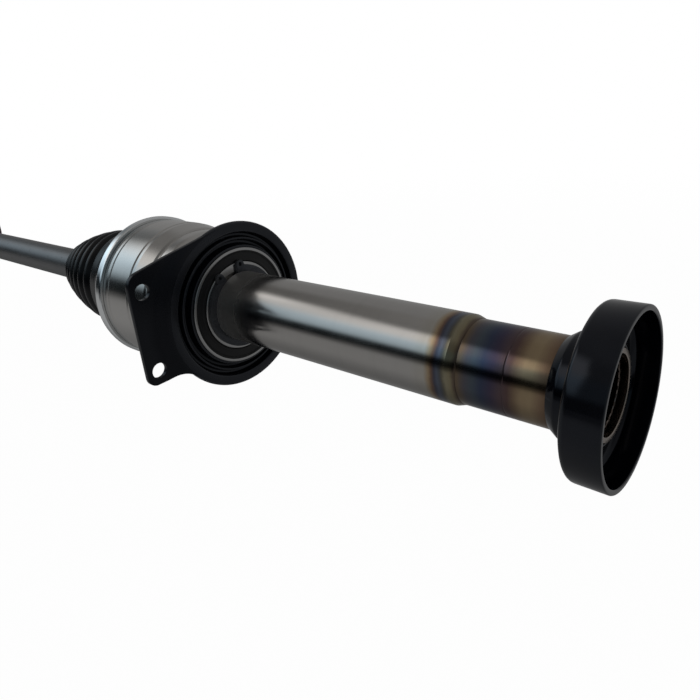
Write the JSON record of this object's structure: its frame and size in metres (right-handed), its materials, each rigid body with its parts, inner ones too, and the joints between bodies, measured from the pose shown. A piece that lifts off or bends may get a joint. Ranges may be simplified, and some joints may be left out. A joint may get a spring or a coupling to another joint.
{
  "type": "drive shaft",
  "caption": "Front drive shaft with a carrier bearing and bracket, a splined sleeve with deflector cup, a tripod joint under a rubber boot, an axle bar and an outer ball joint.",
  "frame": {"origin": "centre of the splined sleeve's mouth, on the shaft's axis", "axes": "+X along the shaft, out of the sleeve; +Z along the line of the bracket's two bolt holes; the bolt holes lie on -Y of the shaft"},
  "size_m": [0.8951, 0.127, 0.108],
  "materials": {
    "bracket_black": "satin black coating",
    "race_steel": "ground bearing steel",
    "seal_rubber": "matt black rubber",
    "ball_steel": "polished",
    "cage_steel": "pressed sheet",
    "clip_black": "black phosphate",
    "tube_steel": "fine turned, satin",
    "weld_tint": "turned steel with heat colours",
    "cup_black": "smooth gloss black",
    "housing_steel": "bright turned steel",
    "boot_rubber": "satin black rubber",
    "clamp_steel": "bright band",
    "roller_steel": "ground",
    "bar_steel": "dark satin",
    "forged_steel": "forged and machined"
  },
  "bodies": {
    "carrier": {"carrier_bracket": "bracket_black", "bearing_outer_race": "race_steel", "bearing_seal_front": "seal_rubber", "bearing_seal_rear": "seal_rubber"},
    "link_shaft": {"bearing_inner_race": "race_steel", "bearing_snap_ring": "clip_black", "shaft_tube": "tube_steel", "sleeve_neck": "weld_tint", "splined_sleeve": "weld_tint", "deflector_cup": "cup_black", "tripod_housing": "housing_steel", "inner_clamp_large": "clamp_steel", "inner_boot": "boot_rubber"},
    "ball_set": {"bearing_balls": "ball_steel", "bearing_cage": "cage_steel"},
    "slider_1": {"roller_1": "roller_steel", "roller_needles_1": "ball_steel", "roller_ring_1": "roller_steel"},
    "slider_2": {"roller_2": "roller_steel", "roller_needles_2": "ball_steel", "roller_ring_2": "roller_steel"},
    "slider_3": {"roller_3": "roller_steel", "roller_needles_3": "ball_steel", "roller_ring_3": "roller_steel"},
    "axle": {"tripod_spider": "forged_steel", "spider_circlip": "clip_black", "axle_bar": "bar_steel", "inner_clamp_small": "clamp_steel", "outer_inner_race": "forged_steel", "inner_race_circlip": "clip_black", "outer_clamp_small": "clamp_steel"},
    "outer_cage_set": {"outer_cage": "forged_steel", "outer_balls": "ball_steel"},
    "bell": {"outer_bell": "forged_steel", "outer_boot": "boot_rubber", "outer_clamp_large": "clamp_steel"}
  },
  "joints": [
    {"name": "shaft_spin", "type": "hinge", "parent": "carrier", "child": "link_shaft", "pos_m": [-0.2335, 0, 0], "axis": [1, 0, 0], "continuous": true},
    {"name": "ball_set_spin", "type": "hinge", "parent": "carrier", "child": "ball_set", "pos_m": [-0.2335, 0, 0], "axis": [1, 0, 0], "continuous": true},
    {"name": "inner_plunge", "type": "slide", "parent": "link_shaft", "child": "slider_1", "axis": [1, 0, 0], "range_m": [-0.012, 0.009]},
    {"name": "inner_tilt", "type": "hinge", "parent": "slider_1", "child": "axle", "pos_m": [-0.3015, 0, 0], "axis": [0, 0, 1], "range_deg": [-18, 18], "deforming": ["inner_boot"]},
    {"name": "slider_2_slide", "type": "slide", "parent": "slider_1", "child": "slider_2", "axis": [1, 0, 0], "range_m": [-0.0086, 0.0086]},
    {"name": "slider_3_slide", "type": "slide", "parent": "slider_1", "child": "slider_3", "axis": [1, 0, 0], "range_m": [-0.0086, 0.0086]},
    {"name": "outer_tilt", "type": "hinge", "parent": "axle", "child": "bell", "pos_m": [-0.7735, 0, 0], "axis": [0, 0, 1], "range_deg": [-44, 44], "deforming": ["outer_boot"]},
    {"name": "outer_cage_tilt", "type": "hinge", "parent": "axle", "child": "outer_cage_set", "pos_m": [-0.7735, 0, 0], "axis": [0, 0, 1], "range_deg": [-22.5, 22.5]}
  ],
  "couplings": [
    {"joint": "ball_set_spin", "follows": "shaft_spin", "ratio": 0.4282},
    {"joint": "slider_2_slide", "follows": "inner_tilt", "m_per_rad": 0.02641},
    {"joint": "slider_3_slide", "follows": "inner_tilt", "m_per_rad": -0.02641},
    {"joint": "outer_cage_tilt", "follows": "outer_tilt", "ratio": 0.5}
  ]
}
